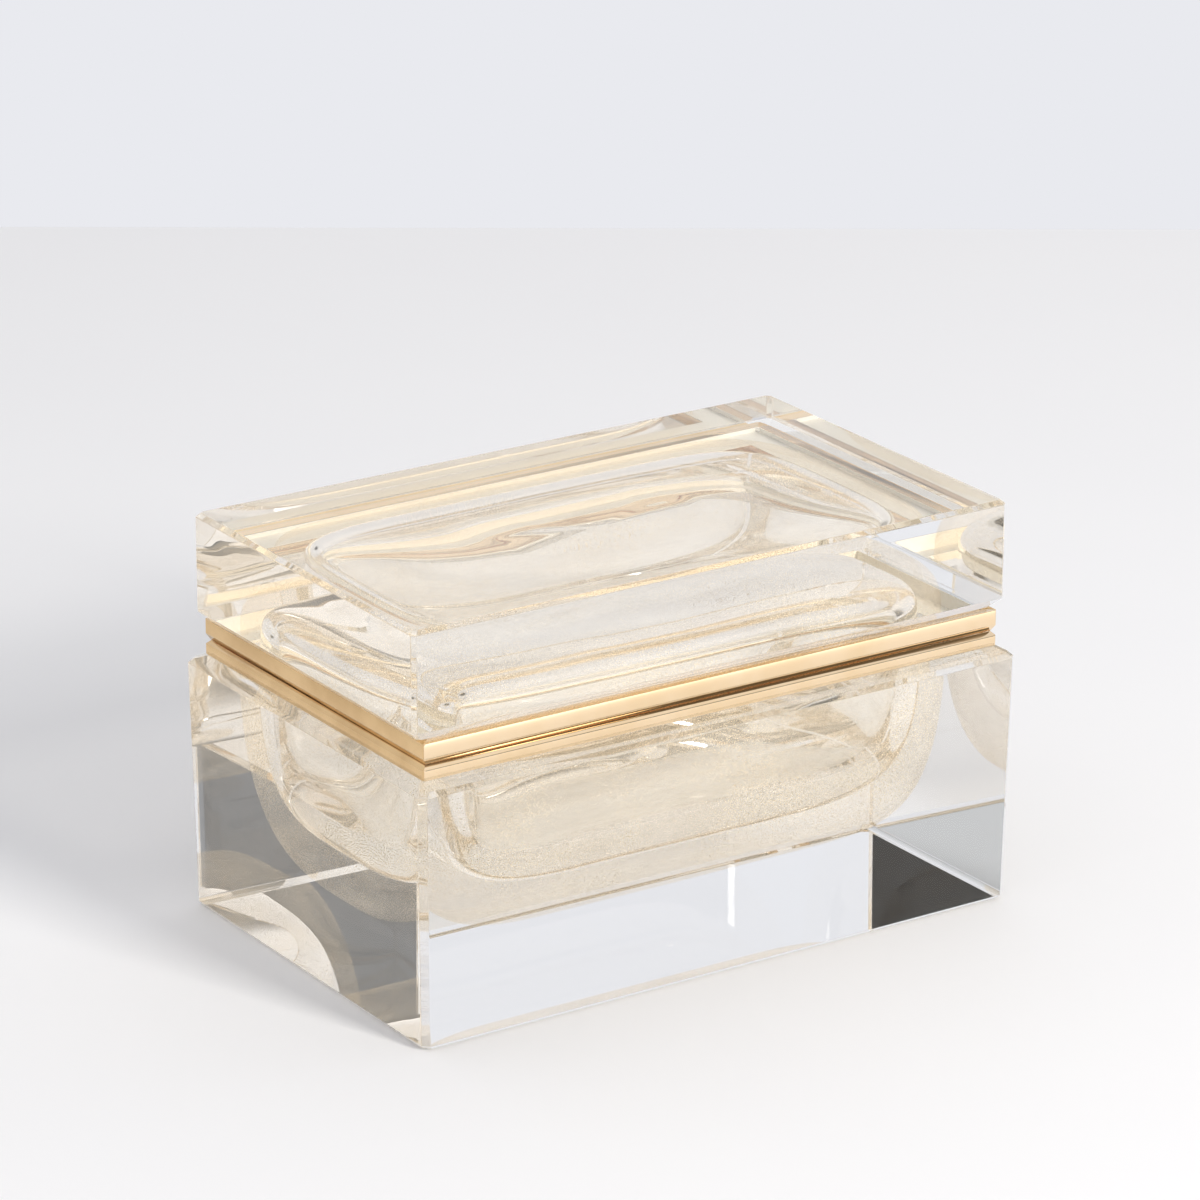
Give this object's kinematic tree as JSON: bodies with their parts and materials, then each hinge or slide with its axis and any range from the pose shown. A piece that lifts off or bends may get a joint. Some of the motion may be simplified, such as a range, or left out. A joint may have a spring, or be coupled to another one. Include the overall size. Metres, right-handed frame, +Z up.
{
  "type": "glass casket",
  "caption": "Hinged rectangular casket of thick clear glass lined with gold-dusted glass, edged with mitred brass rims and joined along the back by a knuckle hinge.",
  "frame": {"origin": "centre of the foot, on the surface the casket stands on", "axes": "+X along the long side to the right, +Y to the back where the hinge is, +Z up"},
  "size_m": [0.16, 0.102, 0.0965],
  "materials": {
    "clear_glass": "polished",
    "gold_glass": "polished, with gold dust between the layers",
    "gilt_brass": "polished",
    "hinge_brass": "satin",
    "cement": "matte"
  },
  "bodies": {
    "base": {"base_glass_casing": "clear_glass", "base_gold_lining": "gold_glass", "lower_rail_front": "gilt_brass", "lower_rail_rear": "gilt_brass", "lower_rail_left": "gilt_brass", "lower_rail_right": "gilt_brass", "lower_cement_bed": "cement", "hinge_lower_leaf": "hinge_brass", "hinge_lower_knuckles": "hinge_brass", "hinge_pin": "hinge_brass"},
    "lid": {"lid_glass_casing": "clear_glass", "lid_gold_lining": "gold_glass", "upper_rail_front": "gilt_brass", "upper_rail_rear": "gilt_brass", "upper_rail_left": "gilt_brass", "upper_rail_right": "gilt_brass", "upper_cement_bed": "cement", "hinge_upper_leaf": "hinge_brass", "hinge_upper_knuckles": "hinge_brass"}
  },
  "joints": [
    {"name": "lid_hinge", "type": "hinge", "parent": "base", "child": "lid", "pos_m": [0, 0.0486, 0.0676], "axis": [-1, 0, 0], "range_deg": [0, 98]}
  ]
}
